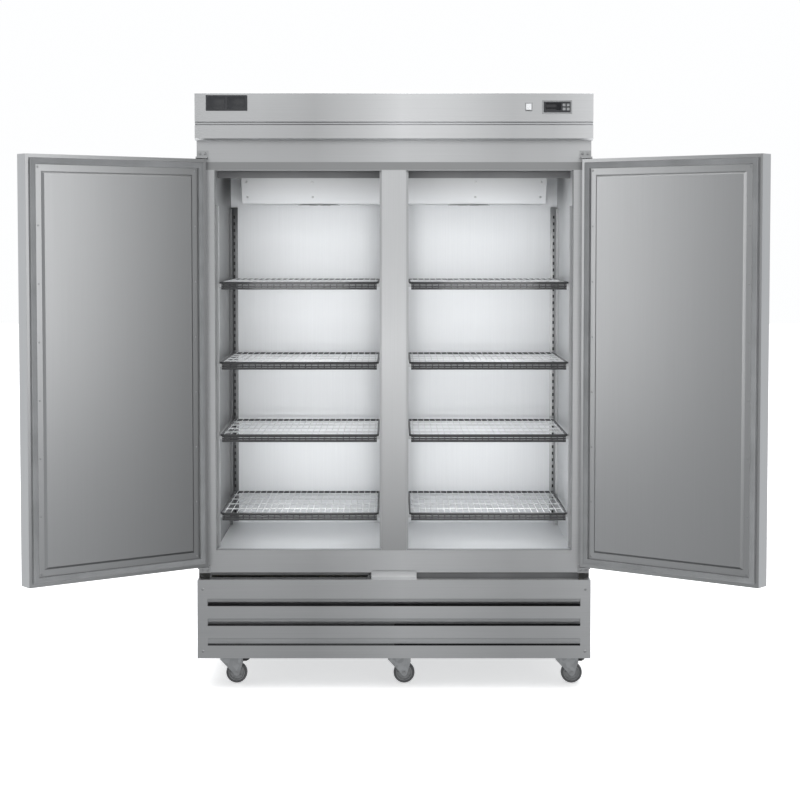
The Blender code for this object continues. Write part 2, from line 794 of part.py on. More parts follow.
def build_evaporator():
    """A sloped cover hung under the ceiling, open at its top, over a finned coil and two fans."""
    top = OPEN_TOP - GAP
    lip = (0.300, top - 0.012)
    profile = [(0.300, top), (0.640, top), (0.640, COVER_BOTTOM), (0.365, COVER_BOTTOM), lip]
    cover = prism("evaporator_cover", profile, -COVER_X, COVER_X, "X")
    hollow(cover, SHEET, (0, 1, 0))
    for label, x in (("left", -EVAP_FAN_X), ("right", EVAP_FAN_X)):
        hole = rod("evaporator_hole_" + label, 0.066, (x, EVAP_FAN_Y, COVER_BOTTOM - 0.010), 0.020, sides=24)
        cut(cover, hole)
        mount = motor_mount("evaporator_" + label, (x, EVAP_FAN_Y, COVER_BOTTOM + 0.028), "Z", 0.075, 0.026, 0.040)
        join(cover, *mount)
        place = (x, EVAP_FAN_Y, COVER_BOTTOM + 0.0057)
        finish(fan_blades("evaporator_fan_" + label, place, "Z", 0.016, 0.060, 0.022, 5), "white")
    finish(cover, "aluminium")
    coil = box("evaporator_coil", (-0.430, 0.530, COVER_BOTTOM + 0.020), (0.430, 0.625, OPEN_TOP - 0.010))
    for i, x in enumerate((-0.430, 0.430)):
        low = (x - 0.004, 0.520, COVER_BOTTOM + SHEET + GAP)
        high = (x + 0.004, 0.632, OPEN_TOP - 0.004)
        join(coil, box(f"evaporator_plate_{i}", low, high))
    finish(coil, "aluminium")


def build_condensing_unit():
    x0, x1 = CONDENSER_X
    floor = BASE_Z + 0.003 + GAP
    coil = box("condenser_coil", (x0, 0.010, 0.135), (x1, 0.060, 0.385))
    for i, x in enumerate((x0, x1)):
        join(coil, box(f"condenser_plate_{i}", (x - 0.003, 0.008, floor), (x + 0.003, 0.062, 0.392)))
    finish(coil, "aluminium")
    fan_x, fan_z = CONDENSER_FAN
    shroud = box("condenser_fan_shroud", (x0, SHROUD_Y, floor), (x1, SHROUD_Y + 0.002, 0.385))
    cut(shroud, rod("condenser_hole", 0.112, (fan_x, SHROUD_Y - 0.010, fan_z), 0.020, "Y", 24))
    join(shroud, *motor_mount("condenser", (fan_x, SHROUD_Y + 0.036, fan_z), "Y", 0.122, 0.040, 0.070))
    finish(shroud, "galvanised")
    place = (fan_x, SHROUD_Y + 0.003, fan_z)
    finish(fan_blades("condenser_fan", place, "Y", 0.024, 0.104, 0.0325, 5), "black")
    profile = [
        (0, 0.205),
        (0.030, 0.203),
        (0.060, 0.190),
        (0.076, 0.165),
        (0.080, 0.150),
        (0.080, 0.055),
        (0.070, 0.028),
        (0.045, 0.014),
        (0, 0.010),
    ]
    dome = turned("compressor", profile, 20, (0.150, 0.400, floor))
    join(dome, box("compressor_feet", (0.045, 0.330, floor), (0.255, 0.470, floor + 0.018)))
    finish(dome, "black")
    pan = box("drain_pan", (0.330, 0.430, floor), (0.640, 0.700, floor + 0.050))
    finish(hollow(pan, 0.0015, (0, 0, 1)), "galvanised")


clear_scene()
PARTS = new_collection("reach_in_refrigerator")
CUTTERS = new_collection("cutters")
CABINET = new_empty("cabinet_frame", (0, CENTRE_Y, 0))

build_wrap()
build_rear_panel()
build_insulation()
build_inner_liner()
build_face_frame()
build_mullion()
build_header()
build_header_controls()
build_grille()
build_base()
build_doors()
build_standards()
build_shelves()
build_casters()
build_evaporator()
build_condensing_unit()
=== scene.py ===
"""The look of the two-section reach-in refrigerator, built round its frame. Metres, +Z up."""
import json
import math

import bmesh
import bpy
from mathutils import Matrix, Vector


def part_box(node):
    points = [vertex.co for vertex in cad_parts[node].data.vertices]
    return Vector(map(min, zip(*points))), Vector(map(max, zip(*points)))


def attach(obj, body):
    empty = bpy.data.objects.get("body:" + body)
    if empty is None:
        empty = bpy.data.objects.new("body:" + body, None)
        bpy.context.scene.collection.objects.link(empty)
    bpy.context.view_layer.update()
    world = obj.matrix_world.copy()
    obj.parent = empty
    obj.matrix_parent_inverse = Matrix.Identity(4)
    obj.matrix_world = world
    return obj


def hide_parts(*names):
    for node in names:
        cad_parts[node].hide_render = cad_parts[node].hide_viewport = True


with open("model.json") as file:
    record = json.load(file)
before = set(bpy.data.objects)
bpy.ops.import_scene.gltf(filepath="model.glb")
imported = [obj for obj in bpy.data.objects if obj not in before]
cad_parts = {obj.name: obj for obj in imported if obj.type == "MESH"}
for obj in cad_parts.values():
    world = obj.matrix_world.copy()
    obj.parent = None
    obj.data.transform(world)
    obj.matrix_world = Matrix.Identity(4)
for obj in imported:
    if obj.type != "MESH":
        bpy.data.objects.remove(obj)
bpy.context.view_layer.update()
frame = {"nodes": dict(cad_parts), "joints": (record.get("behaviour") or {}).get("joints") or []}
NODES = frame["nodes"]
JOINTS = {j["name"]: j for j in frame["joints"]}

HEADER_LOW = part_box("header_fascia")[0]
FACE_LOW, FACE_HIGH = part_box("face_frame")
GRILLE_LOW, GRILLE_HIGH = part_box("louver_grille")
LINER_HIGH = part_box("inner_liner")[1]
FACE_Y = FACE_LOW.y
OPEN_ANGLE = math.radians(142.5)
SIDES = {"left": 1, "right": -1}
OPENING_LOW, OPENING_HIGH = 0.4834, 1.8246
OPENING_OUTER, OPENING_INNER = 0.6297, 0.0445
BAY_MIDDLE = 0.336

# Scales of a grain that runs along X, or upright.
LEVEL_GRAIN = (2.0, 1100, 1100)
UPRIGHT_GRAIN = (1100, 1100, 2.0)


# ---- Materials ----
# Painted reflection bands: where each band sits along a sheet, and how pale it is.
PAINTED_REFLECTION_STOPS = (
    (0.0, 0.36), (0.16, 0.34), (0.30, 0.0), (0.42, 0.45), (0.52, 1.0),
    (0.62, 0.80), (0.80, 0.18), (0.90, 0.34), (1.0, 0.92),
)
# The share of the colour in a band of painted shade.
SEAL_SHADE_TONE = 0.58


class Shader:
    """A node material under construction, with short calls for its nodes."""

    def __init__(self, name):
        self.mat = bpy.data.materials.new(name)
        self.mat.use_nodes = True
        self.tree = self.mat.node_tree
        self.bsdf = self.tree.nodes["Principled BSDF"]

    def node(self, kind, settings=(), **inputs):
        made = self.tree.nodes.new(kind)
        for key, value in dict(settings).items():
            setattr(made, key, value)
        for key, value in inputs.items():
            self.set(made, key, value)
        return made

    def set(self, node, key, value):
        names = [s for s in node.inputs if s.name.replace(" ", "_") == key]
        socket = names[0] if names else node.inputs[int(key[1:])]
        if isinstance(value, bpy.types.NodeSocket):
            self.tree.links.new(value, socket)
        else:
            socket.default_value = value

    def position(self, scale=(1, 1, 1), turn=(0, 0, 0)):
        coords = self.node("ShaderNodeTexCoord")
        place = coords.outputs["Object"]
        mapped = self.node("ShaderNodeMapping", Vector=place, Scale=scale, Rotation=turn)
        return mapped.outputs[0]

    def noise(self, where, scale, detail=4.0, rough=0.6):
        settings = {"Vector": where, "Scale": scale, "Detail": detail, "Roughness": rough}
        return self.node("ShaderNodeTexNoise", **settings).outputs["Fac"]

    def ramp(self, value, low, high, to_low, to_high):
        """Map low..high to to_low..to_high, held at the ends."""
        limits = {"From_Min": low, "From_Max": high, "To_Min": to_low, "To_Max": to_high}
        return self.node("ShaderNodeMapRange", Value=value, **limits).outputs[0]

    def mix(self, factor, a, b):
        made = self.node("ShaderNodeMix", {"data_type": "RGBA"})
        self.set(made, "Factor", factor)
        sockets = [s for s in made.inputs if s.type == "RGBA"]
        for socket, value in zip(sockets, (a, b)):
            if isinstance(value, bpy.types.NodeSocket):
                self.tree.links.new(value, socket)
            else:
                socket.default_value = (*value, 1)
        return [s for s in made.outputs if s.type == "RGBA"][0]

    def math(self, operation, a, b):
        made = self.node("ShaderNodeMath", {"operation": operation}, i0=a, i1=b)
        return made.outputs[0]

    def generated(self, axis):
        """Where a point sits between the two ends of its object, from 0 to 1 along X, Y or Z."""
        coords = self.node("ShaderNodeTexCoord")
        return self.node("ShaderNodeSeparateXYZ", Vector=coords.outputs["Generated"]).outputs[axis]

    def painted_reflection_bands(self):
        """Broad upright bands of painted reflection across a long sheet: palest at the middle and
        the right end.
        """
        made = self.node("ShaderNodeValToRGB", Fac=self.generated("X"))
        stops = made.color_ramp.elements
        stops[0].position, stops[1].position = 0.0, 1.0
        for place, tone in PAINTED_REFLECTION_STOPS:
            if place == 0.0:
                stop = stops[0]
            elif place == 1.0:
                stop = stops[len(stops) - 1]
            else:
                stop = stops.new(place)
            stop.color = (tone, tone, tone, 1)
        return made.outputs["Color"]

    def bump(self, height, distance, strength=1.0):
        made = self.node("ShaderNodeBump", Height=height, Distance=distance, Strength=strength)
        self.set(self.bsdf, "Normal", made.outputs[0])

    def surface(self, **inputs):
        for key, value in inputs.items():
            self.set(self.bsdf, key, value)
        return self.mat


def scaled(colour, by):
    return tuple(c * by for c in colour)


def brushed(name, colour, rough, grain, vary=0.10, reflection_bands=None, shade_band=None, foot=1.0):
    """Sheet metal with a directional grain: grain is the texture's scale along X, Y and Z.

    Reflection bands are the darkest and palest share of the colour in broad bands of painted
    reflection across a long sheet, and a shade band is a line of painted shade between two heights,
    given as shares of the object's height. Foot is the share of the colour at the bottom of the
    object: painted shade that darkens the sheet towards its bottom.
    """
    s = Shader(name)
    fine = s.noise(s.position(grain), 1.0, 6.0, 0.7)
    broad = s.noise(s.position((1.6, 1.6, 1.1)), 1.0, 2.0, 0.5)
    dark, pale = scaled(colour, 1 - vary), scaled(colour, 1 + vary * 0.5)
    # Painted reflection: broad bands of tone across the sheet.
    if reflection_bands:
        across = s.painted_reflection_bands()
        dark = s.mix(across, scaled(dark, reflection_bands[0]), scaled(dark, reflection_bands[1]))
        pale = s.mix(across, scaled(pale, reflection_bands[0]), scaled(pale, reflection_bands[1]))
    tone = s.mix(s.ramp(fine, 0.25, 0.75, 0, 1), dark, pale)
    tone = s.mix(s.ramp(broad, 0.3, 0.7, 0, 0.12), tone, scaled(colour, 0.80))
    # Painted shade: darker towards the bottom of the object.
    if foot < 1:
        tone = s.mix(s.ramp(s.generated("Z"), 0.0, 0.55, 1, 0), tone, scaled(colour, foot))
    # Painted shade: a darker band between two heights.
    if shade_band:
        height = s.generated("Z")
        above = s.ramp(height, shade_band[0] - 0.001, shade_band[0], 0, 1)
        below = s.ramp(height, shade_band[1], shade_band[1] + 0.001, 1, 0)
        tone = s.mix(s.math("MULTIPLY", above, below), tone, scaled(colour, SEAL_SHADE_TONE))
    grain_rough = s.ramp(fine, 0.2, 0.8, rough - 0.05, rough + 0.05)
    roughness = s.math("ADD", grain_rough, s.ramp(broad, 0.3, 0.7, -0.03, 0.04))
    s.bump(fine, 0.00006, 0.35)
    return s.surface(Base_Color=tone, Roughness=roughness, Metallic=1.0)


def interior_sheet():
    """Satin aluminium with painted shade: darker on the two side walls and the ceiling than on the
    back and floor.
    """
    s = Shader("aluminium_interior")
    fine = s.noise(s.position((700, 700, 3.0)), 1.0, 5.0, 0.6)
    broad = s.noise(s.position((2.4, 2.4, 1.6)), 1.0, 2.0, 0.5)
    normal = s.node("ShaderNodeNewGeometry").outputs["Normal"]
    facing = s.node("ShaderNodeSeparateXYZ", Vector=normal)
    left = s.ramp(facing.outputs["X"], 0.5, 0.9, 0, 1)
    right = s.ramp(facing.outputs["X"], -0.9, -0.5, 1, 0)
    roof = s.ramp(facing.outputs["Z"], -0.9, -0.5, 1, 0)
    tone = s.mix(s.ramp(fine, 0.25, 0.75, 0, 1), (0.80, 0.815, 0.83), (0.86, 0.875, 0.89))
    tone = s.mix(s.ramp(broad, 0.3, 0.7, 0, 0.10), tone, (0.66, 0.68, 0.70))
    # Painted shade: the left wall darkens towards the back, and the right wall and the ceiling are
    # darker than the back and floor.
    depth = s.generated("Y")
    left_wall_shade = s.mix(s.ramp(depth, 0.1, 0.6, 0, 1), (0.31, 0.315, 0.32), (0.19, 0.193, 0.196))
    tone = s.mix(left, tone, left_wall_shade)
    tone = s.mix(right, tone, (0.60, 0.61, 0.62))
    tone = s.mix(roof, tone, (0.20, 0.204, 0.208))
    s.bump(fine, 0.00005, 0.3)
    return s.surface(Base_Color=tone, Roughness=s.ramp(fine, 0.2, 0.8, 0.40, 0.50), Metallic=0.35)


def cover_sheet():
    """Satin aluminium with painted shade, darker towards the top, where it meets the ceiling."""
    s = Shader("aluminium_cover")
    fine = s.noise(s.position((3.0, 700, 700)), 1.0, 5.0, 0.6)
    height = s.generated("Z")
    # Painted shade: the cover darkens towards the ceiling.
    tone = s.mix(s.ramp(height, 0.05, 0.95, 0, 1), (0.70, 0.713, 0.726), (0.34, 0.345, 0.35))
    tone = s.mix(s.ramp(fine, 0.25, 0.75, 0, 0.06), tone, (0.30, 0.30, 0.30))
    s.bump(fine, 0.00005, 0.3)
    return s.surface(Base_Color=tone, Roughness=s.ramp(fine, 0.2, 0.8, 0.42, 0.52), Metallic=0.4)


def door_liner_sheet(label, at_hinge, at_edge):
    """Satin sheet of a door liner, with a painted reflection: one tone at the hinge and one at the
    free edge.
    """
    s = Shader("steel_door_liner_" + label)
    fine = s.noise(s.position(UPRIGHT_GRAIN), 1.0, 6.0, 0.7)
    ends = (1, 0) if label == "left" else (0, 1)
    from_hinge = s.ramp(s.generated("X"), 0.1, 0.9, *ends)
    tone = s.mix(from_hinge, at_hinge, at_edge)
    streak = s.ramp(fine, 0.25, 0.75, 0, 0.12)
    tone = s.mix(streak, tone, (0.25, 0.253, 0.256))
    s.bump(fine, 0.00006, 0.35)
    return s.surface(Base_Color=tone, Roughness=s.ramp(fine, 0.2, 0.8, 0.30, 0.38), Metallic=1.0)


def plastic(name, colour, rough=0.45, grain=700.0, depth=0.00005, vary=0.12):
    """Moulded plastic or rubber with a fine texture and slight unevenness."""
    s = Shader(name)
    fine = s.noise(s.position(), grain, 3.0, 0.6)
    broad = s.noise(s.position(), 9.0, 3.0, 0.5)
    tone = s.mix(s.ramp(broad, 0.3, 0.7, 0, 1), scaled(colour, 1 - vary), scaled(colour, 1 + vary))
    s.bump(fine, depth, 0.5)
    roughness = s.ramp(fine, 0.2, 0.8, rough - 0.06, rough + 0.08)
    return s.surface(Base_Color=tone, Roughness=roughness, Metallic=0.0)


def galvanised(name, colour, rough=0.5):
    """Zinc with a soft spangle."""
    s = Shader(name)
    cells = s.node("ShaderNodeTexVoronoi", Vector=s.position(), Scale=70.0)
    grey = s.node("ShaderNodeRGBToBW", Color=cells.outputs["Color"]).outputs[0]
    tone = s.mix(s.ramp(grey, 0.2, 0.8, 0, 1), scaled(colour, 0.86), scaled(colour, 1.08))
    roughness = s.ramp(grey, 0.2, 0.8, rough - 0.07, rough + 0.07)
    return s.surface(Base_Color=tone, Roughness=roughness, Metallic=0.9)


STEEL = (0.63, 0.635, 0.64)
# The band where the doors' top seals bear on the face frame, as shares of its height, painted
# darker as shade.
SEAL_SHADE_BAND = [(z - FACE_LOW.z) / (FACE_HIGH.z - FACE_LOW.z) for z in (1.8265, 1.8520)]
# Painted reflection on each door liner: its tone at the hinge and at the free edge.
LEFT_LINER_REFLECTION = (0.40, 0.403, 0.406), (0.62, 0.625, 0.63)
RIGHT_LINER_REFLECTION = (0.64, 0.645, 0.65), (0.54, 0.544, 0.548)
MATS = {
    # The header, frame and grille carry bands of painted reflection across their width.
    "header": brushed(
        "steel_header", (0.67, 0.675, 0.68), 0.30, LEVEL_GRAIN, reflection_bands=(0.80, 1.25)
    ),
    # The frame also carries a band of painted shade at the seal line.
    "frame": brushed(
        "steel_frame", (0.64, 0.645, 0.65), 0.34, LEVEL_GRAIN, reflection_bands=(0.88, 1.16), shade_band=SEAL_SHADE_BAND
    ),
    "grille": brushed(
        "steel_grille", (0.67, 0.675, 0.68), 0.34, LEVEL_GRAIN, reflection_bands=(0.86, 1.08)
    ),
    "wrap": brushed("steel_wrap", STEEL, 0.36, UPRIGHT_GRAIN),
    "upright": brushed("steel_upright", (0.60, 0.605, 0.61), 0.34, UPRIGHT_GRAIN),
    # The mullion is a paler copy of the steel as painted light, with painted shade at its foot.
    "mullion": brushed("steel_mullion", (0.72, 0.725, 0.73), 0.34, UPRIGHT_GRAIN, foot=0.66),
    "door": brushed("steel_door", STEEL, 0.34, UPRIGHT_GRAIN),
    "liner_left": door_liner_sheet("left", *LEFT_LINER_REFLECTION),
    "liner_right": door_liner_sheet("right", *RIGHT_LINER_REFLECTION),
    "bracket": brushed("steel_bracket", (0.52, 0.525, 0.53), 0.32, (400, 400, 400)),
    "interior": interior_sheet(),
    "coil": brushed("aluminium_fins", (0.62, 0.63, 0.64), 0.40, (1400, 4.0, 4.0), 0.45),
    "cover": cover_sheet(),
    "zinc": galvanised("zinc_sheet", (0.55, 0.56, 0.57)),
    "zinc_caster": galvanised("zinc_caster", (0.50, 0.51, 0.52), 0.38),
    "seal": plastic("seal_grey", (0.20, 0.205, 0.21), 0.55),
    "tread": plastic("tread_grey", (0.075, 0.077, 0.080), 0.50, 500, 0.0001),
    "hub": plastic("hub_grey", (0.22, 0.225, 0.23), 0.45),
    "black": plastic("black_plastic", (0.018, 0.018, 0.020), 0.38),
    "dark": plastic("dark_plastic", (0.035, 0.036, 0.040), 0.42),
    "trim": plastic("trim_grey", (0.30, 0.305, 0.31), 0.42),
    "white": plastic("light_plastic", (0.70, 0.71, 0.72), 0.40),
    "foam": plastic("foam_yellow", (0.62, 0.52, 0.26), 0.9, 300, 0.0003),
    "paint": plastic("black_paint", (0.020, 0.020, 0.022), 0.30, 300, 0.00004),
    # The rims and trusses are darkened as painted shade on the shelves' front edges; the deck keeps
    # the wires' pale grey.
    "wire": plastic("shelf_coating", (0.050, 0.051, 0.053), 0.42, 500, 0.00004),
    "deck": plastic("shelf_deck", (0.66, 0.67, 0.68), 0.34, 500, 0.00004),
    # Two shaded copies of the pilaster steel, as painted shade: deep on the left, lighter on the
    # right.
    "pilaster_left": brushed("steel_pilaster_left", (0.22, 0.224, 0.228), 0.40, (700, 700, 2.0)),
    "pilaster_right": brushed(
        "steel_pilaster_right", (0.54, 0.545, 0.55), 0.40, (700, 700, 2.0)
    ),
    "valance": plastic("valance_grey", (0.13, 0.132, 0.135), 0.5),
    "filter": plastic("filter_mesh", (0.105, 0.107, 0.110), 0.8, 900, 0.0004),
    "copper": brushed("copper_tube", (0.72, 0.36, 0.22), 0.35, (60, 60, 60), 0.2),
    "badge": plastic("badge_field", (0.030, 0.031, 0.034), 0.25, 900, 0.00002),
    "screen": plastic("display_window", (0.010, 0.010, 0.012), 0.12, 900, 0.00001),
    "lens": plastic("lamp_lens", (0.88, 0.89, 0.90), 0.30),
}


def paint(obj, key):
    obj.data.materials.clear()
    obj.data.materials.append(MATS[key])


CAD_FINISH = {
    "header_fascia": "header",
    "face_frame": "frame",
    "louver_grille": "grille",
    "cabinet_wrap": "wrap",
    "center_mullion": "mullion",
    "inner_liner": "interior",
    "evaporator_cover": "cover",
    "evaporator_coil": "coil",
    "condenser_coil": "coil",
    "rear_panel": "zinc",
    "base_frame": "zinc",
    "condenser_fan_shroud": "zinc",
    "drain_pan": "zinc",
    "insulation": "foam",
    "compressor": "paint",
    "temperature_controller": "dark",
    "power_switch": "white",
    "condenser_fan": "black",
    "shelf_post_center_front": "upright",
    "shelf_post_center_rear": "upright",
}
for label in SIDES:
    CAD_FINISH[f"door_{label}_skin"] = "door"
    CAD_FINISH[f"door_{label}_core"] = "foam"
    CAD_FINISH[f"door_{label}_liner"] = "liner_" + label
    CAD_FINISH[f"evaporator_fan_{label}"] = "white"
    for end in ("lower", "upper"):
        CAD_FINISH[f"hinge_bracket_{label}_{end}"] = "bracket"
    CAD_FINISH[f"shelf_standard_{label}_front"] = "upright"
    # The rear standards take the painted shade of the pilasters.
    CAD_FINISH[f"shelf_standard_{label}_rear"] = "pilaster_" + label
for name in NODES:
    if name.startswith("caster_yoke"):
        CAD_FINISH[name] = "zinc_caster"
    elif name.startswith("caster_wheel"):
        CAD_FINISH[name] = "tread"
    elif name.startswith("brake_pedal"):
        CAD_FINISH[name] = "black"
    elif name.startswith("shelf_") and name[-1].isdigit():
        CAD_FINISH[name] = "wire"
    elif name.endswith("_gasket"):
        CAD_FINISH[name] = "seal"
for name, key in CAD_FINISH.items():
    paint(NODES[name], key)


# ---- Mesh helpers ----
def turns(count, start=0.0):
    """Evenly spaced angles round a circle, the first one start steps round."""
    return [2 * math.pi * (k + start) / count for k in range(count)]


def piece(name, bm, key, body, angle=38):
    """Make an object from a mesh in world coordinates, and let it ride on a body."""
    bmesh.ops.recalc_face_normals(bm, faces=bm.faces)
    mesh = bpy.data.meshes.new(name)
    bm.to_mesh(mesh)
    bm.free()
    mesh.shade_smooth()
    mesh.set_sharp_from_angle(angle=math.radians(angle))
    obj = bpy.data.objects.new(name, mesh)
    bpy.context.scene.collection.objects.link(obj)
    paint(obj, key)
    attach(obj, body)
    return obj


def block(bm, low, high, round_by=0.0, matrix=None):
    """A box with rounded edges between two corners."""
    verts = bmesh.ops.create_cube(bm, size=1)["verts"]
    low, high = Vector(map(min, low, high)), Vector(map(max, low, high))
    for v in verts:
        v.co = Vector(l + (c + 0.5) * (h - l) for l, h, c in zip(low, high, v.co))
    if round_by:
        edges = list(dict.fromkeys(e for v in verts for e in v.link_edges))
        settings = {"offset": round_by, "segments": 2, "profile": 0.5, "affect": "EDGES"}
        made = bmesh.ops.bevel(bm, geom=edges, **settings)
        verts = list(dict.fromkeys(v for f in made["faces"] for v in f.verts))
    if matrix:
        bmesh.ops.transform(bm, matrix=matrix, verts=verts)


def rod(bm, a, b, radius, sides=8):
    """A straight wire or pin from a to b."""
    a, b = Vector(a), Vector(b)
    radii = {"radius1": radius, "radius2": radius}
    made = bmesh.ops.create_cone(
        bm, cap_ends=True, segments=sides, depth=(b - a).length, **radii
    )
    turn = (b - a).to_track_quat("Z", "Y").to_matrix().to_4x4()
    bmesh.ops.transform(bm, matrix=Matrix.Translation((a + b) / 2) @ turn, verts=made["verts"])


def tube(bm, points, radius, sides=8, closed=False):
    """A round wire swept along points, with its ends capped."""
    points = [Vector(p) for p in points]
    count = len(points)
    rings = []
    side = None
    for i, point in enumerate(points):
        before = points[i - 1] if i or closed else point
        after = points[(i + 1) % count] if i < count - 1 or closed else point
        along = (after - before).normalized()
        if side is None:
            side = along.orthogonal().normalized()
        side = (side - along * side.dot(along)).normalized()
        other = along.cross(side)
        spokes = [side * math.cos(t) + other * math.sin(t) for t in turns(sides)]
        rings.append([bm.verts.new(point + radius * spoke) for spoke in spokes])
    pairs = list(zip(rings, rings[1:]))
    if closed:
        pairs.append((rings[-1], rings[0]))
    for ring, following in pairs:
        for k in range(sides):
            nxt = (k + 1) % sides
            bm.faces.new((ring[k], ring[nxt], following[nxt], following[k]))
    if not closed:
        bm.faces.new(rings[0])
        bm.faces.new(rings[-1])


def lathe(bm, profile, sides, matrix):
    """Turn a profile of (radius, height) points about Z.

    The profile is closed, unless it starts and ends on the axis.
    """
    rings = []
    for radius, height in profile:
        if radius < 1e-6:
            points = [(0, 0, height)]
        else:
            angles = turns(sides, 0.5)
            points = [(radius * math.cos(t), radius * math.sin(t), height) for t in angles]
        rings.append([bm.verts.new(matrix @ Vector(point)) for point in points])
    ends_on_axis = len(rings[0]) == 1
    pairs = list(zip(rings, rings[1:]))
    if not ends_on_axis:
        pairs.append((rings[-1], rings[0]))
    for ring, following in pairs:
        for k in range(sides):
            nxt = (k + 1) % sides
            corners = [ring[i % len(ring)] for i in (k, nxt)]
            corners += [following[i % len(following)] for i in (nxt, k)]
            bm.faces.new(list(dict.fromkeys(corners)))


def frame_ring(bm, corners, profile, matrix=None):
    """A moulding with mitred corners round (low x, high x, low z, high z).

    Each point of its profile is (inset from the corners, depth along Y).
    """
    low_x, high_x, low_z, high_z = corners
    matrix = matrix or Matrix.Identity(4)
    loops = []
    for inset, depth in profile:
        points = [
            (low_x + inset, depth, low_z + inset),
            (high_x - inset, depth, low_z + inset),
            (high_x - inset, depth, high_z - inset),
            (low_x + inset, depth, high_z - inset),
        ]
        loops.append([bm.verts.new(matrix @ Vector(point)) for point in points])
    for i, loop in enumerate(loops):
        following = loops[(i + 1) % len(loops)]
        for k in range(4):
            nxt = (k + 1) % 4
            bm.faces.new((loop[k], loop[nxt], following[nxt], following[k]))


def along_axis(place, axis):
    """A matrix that puts local +Z along an axis at a place."""
    return Matrix.Translation(place) @ Vector(axis).to_track_quat("Z", "Y").to_matrix().to_4x4()


def screw(bm, place, axis, radius, height):
    """A pan head with a cross recess."""
    matrix = along_axis(place, axis)
    profile = [
        (0.0, height),
        (radius * 0.45, height),
        (radius * 0.80, height * 0.80),
        (radius, height * 0.30),
        (radius, 0.0),
        (0.0, -0.0001),
    ]
    lathe(bm, profile, 12, matrix)
    for size in ((0.55, 0.10), (0.10, 0.55)):
        half = [radius * c for c in size]
        block(bm, (-half[0], -half[1], height), (half[0], half[1], height + 0.00015), matrix=matrix)


def hex_bolt(bm, place, axis, radius, height):
    """A hexagon head on a round washer."""
    matrix = along_axis(place, axis)
    head = [
        (0.0, height),
        (radius * 0.85, height),
        (radius, height * 0.8),
        (radius, 0.0),
        (0.0, -0.0001),
    ]
    washer = [(0.0, 0.001), (radius * 1.35, 0.001), (radius * 1.4, 0.0), (0.0, -0.0002)]
    lathe(bm, head, 6, matrix)
    lathe(bm, washer, 16, matrix)


# ---- Shelves ----
SHELF_RAIL = 0.0040
SHELF_WIRE = 0.0014
SHELF_WIRES = 25
SHELF_DROP = 0.0250
# The rods of the front truss: how far below the shelf's top, how far back, and the radius.
TRUSS_RODS = ((SHELF_DROP, 0.0000, 0.0042), (0.0095, 0.0010, 0.0026), (0.0168, 0.0010, 0.0034))


def shelf_outline(x0, x1, y0, y1, z, corner=0.014):
    """A rectangle with rounded corners, as points at one height."""
    centres = (
        (x1 - corner, y0 + corner, -90),
        (x1 - corner, y1 - corner, 0),
        (x0 + corner, y1 - corner, 90),
        (x0 + corner, y0 + corner, 180),
    )
    outline = []
    for cx, cy, first in centres:
        for k in range(5):
            t = math.radians(first + 22.5 * k)
            outline.append((cx + corner * math.cos(t), cy + corner * math.sin(t), z))
    return outline


def build_shelf(name):
    """A rim with a trussed front edge, dark as painted shade, and a paler deck of wires over it."""
    low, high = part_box(name)
    top = high.z
    x0, x1 = low.x + SHELF_RAIL, high.x - SHELF_RAIL
    y0, y1 = low.y + SHELF_RAIL, high.y - SHELF_RAIL
    edge = y0 - SHELF_RAIL
    wire_xs = [x0 + 0.012 + (x1 - x0 - 0.024) * i / (SHELF_WIRES - 1) for i in range(SHELF_WIRES)]
    bm = bmesh.new()
    tube(bm, shelf_outline(x0, x1, y0, y1, top - SHELF_RAIL - 0.0010), SHELF_RAIL, 8, closed=True)
    for down, back, radius in TRUSS_RODS:
        y, z = y0 + back, top - down
        rod(bm, (x0 + 0.004, y, z), (x1 - 0.004, y, z), radius, 8)
    for x in wire_xs:
        y = edge + 0.0020
        rod(bm, (x, y, top - 0.0062), (x, y, top - SHELF_DROP), 0.0018, 6)
    shelf = piece("wire_" + name, bm, "wire", name, 60)
    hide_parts(name)
    bm = bmesh.new()
    for x in wire_xs:
        front = edge + SHELF_WIRE + 0.0006
        level = top - SHELF_WIRE
        path = [
            (x, y1, level),
            (x, front + 0.008, level),
            (x, front + 0.003, level - 0.0008),
            (x, front, level - 0.0040),
        ]
        tube(bm, path, SHELF_WIRE, 6)
    for share in (0.22, 0.44, 0.66, 0.86):
        y = y0 + (y1 - y0) * share
        rod(bm, (x0, y, top - 0.0054), (x1, y, top - 0.0054), 0.0022, 8)
    piece("deck_" + name, bm, "deck", name, 60)


for i in range(1, 5):
    for label in SIDES:
        build_shelf(f"shelf_{label}_{i}")


# ---- Doors ----
def door_place(label):
    """The matrix of a door's own frame at rest, and the sign of its width direction."""
    side = SIDES[label]
    x, y, _ = JOINTS[f"door_{label}_swing"]["pos_m"]
    return Matrix.Translation((x, y, 0)) @ Matrix.Rotation(-side * OPEN_ANGLE, 4, "Z"), side


# In a door's own frame: its height, the span along its width, its outer face and the liner's face.
DOOR_LOW, DOOR_HIGH = 0.434, 1.861
DOOR_ALONG = (-0.010, 0.678)
DOOR_FRONT = -0.028
DOOR_BACK = 0.0300
# The pocket of the pull: near and far edge along the width, low and high.
PULL = (0.590, 0.650, 1.000, 1.300)
# The seal's section in millimetres: from its outer edge, and out from the liner.
SEAL_SECTION = (
    (0.0, 0.0), (22.0, 0.0), (22.0, 1.6), (18.2, 2.4), (17.6, 3.4), (20.8, 4.6),
    (21.2, 6.2), (19.4, 8.6), (17.6, 9.1), (4.4, 9.1), (2.4, 8.4), (1.2, 6.4),
    (1.6, 4.8), (3.8, 3.4), (3.2, 2.4), (0.0, 1.6),
)


